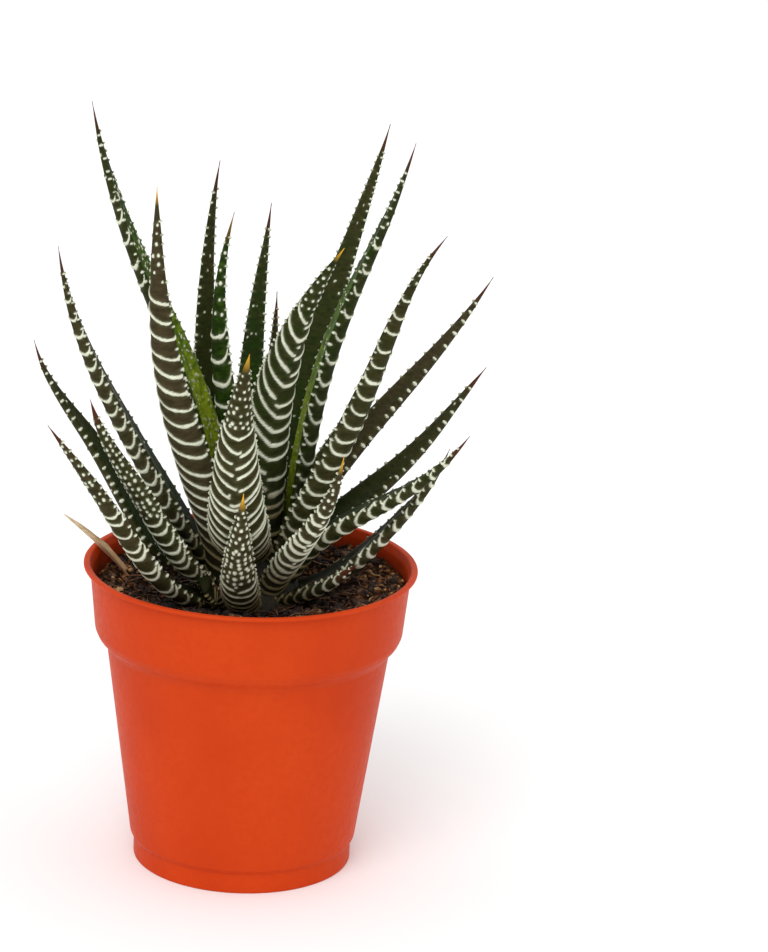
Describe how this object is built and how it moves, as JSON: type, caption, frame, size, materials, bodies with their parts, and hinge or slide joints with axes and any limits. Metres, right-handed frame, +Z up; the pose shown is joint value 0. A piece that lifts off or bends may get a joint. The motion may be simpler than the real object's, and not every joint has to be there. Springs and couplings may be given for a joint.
{
  "type": "potted haworthia",
  "caption": "Zebra-striped haworthia rosette of pointed leaves growing in compost in a round, tapered nursery pot with a banded rim and a narrow lip.",
  "frame": {"origin": "centre of the pot's foot, on the surface it stands on", "axes": "+Z up along the pot's axis, -Y towards the side with the smallest front leaf, +X to the right of it"},
  "size_m": [0.1158, 0.1067, 0.1946],
  "materials": {
    "pot": "satin terracotta-orange polypropylene",
    "soil": "rough dark peat compost",
    "stem": "matt",
    "leaf": "satin dark green with raised white bands and dots",
    "dry_leaf": "matt straw"
  },
  "bodies": {
    "root": {"pot": "pot", "soil": "soil", "stem": "stem", "inner_leaf_1": "leaf", "inner_leaf_2": "leaf", "inner_leaf_3": "leaf", "inner_leaf_4": "leaf", "inner_leaf_5": "leaf", "middle_leaf_1": "leaf", "middle_leaf_2": "leaf", "middle_leaf_3": "leaf", "middle_leaf_4": "leaf", "middle_leaf_5": "leaf", "middle_leaf_6": "leaf", "middle_leaf_7": "leaf", "middle_leaf_8": "leaf", "outer_leaf_1": "leaf", "outer_leaf_2": "leaf", "outer_leaf_3": "leaf", "outer_leaf_4": "leaf", "outer_leaf_5": "leaf", "outer_leaf_6": "leaf", "outer_leaf_7": "leaf", "outer_leaf_8": "leaf", "outer_leaf_9": "leaf", "outer_leaf_10": "leaf", "outer_leaf_11": "leaf", "short_leaf_1": "leaf", "short_leaf_2": "leaf", "dry_leaf": "dry_leaf"}
  },
  "joints": []
}
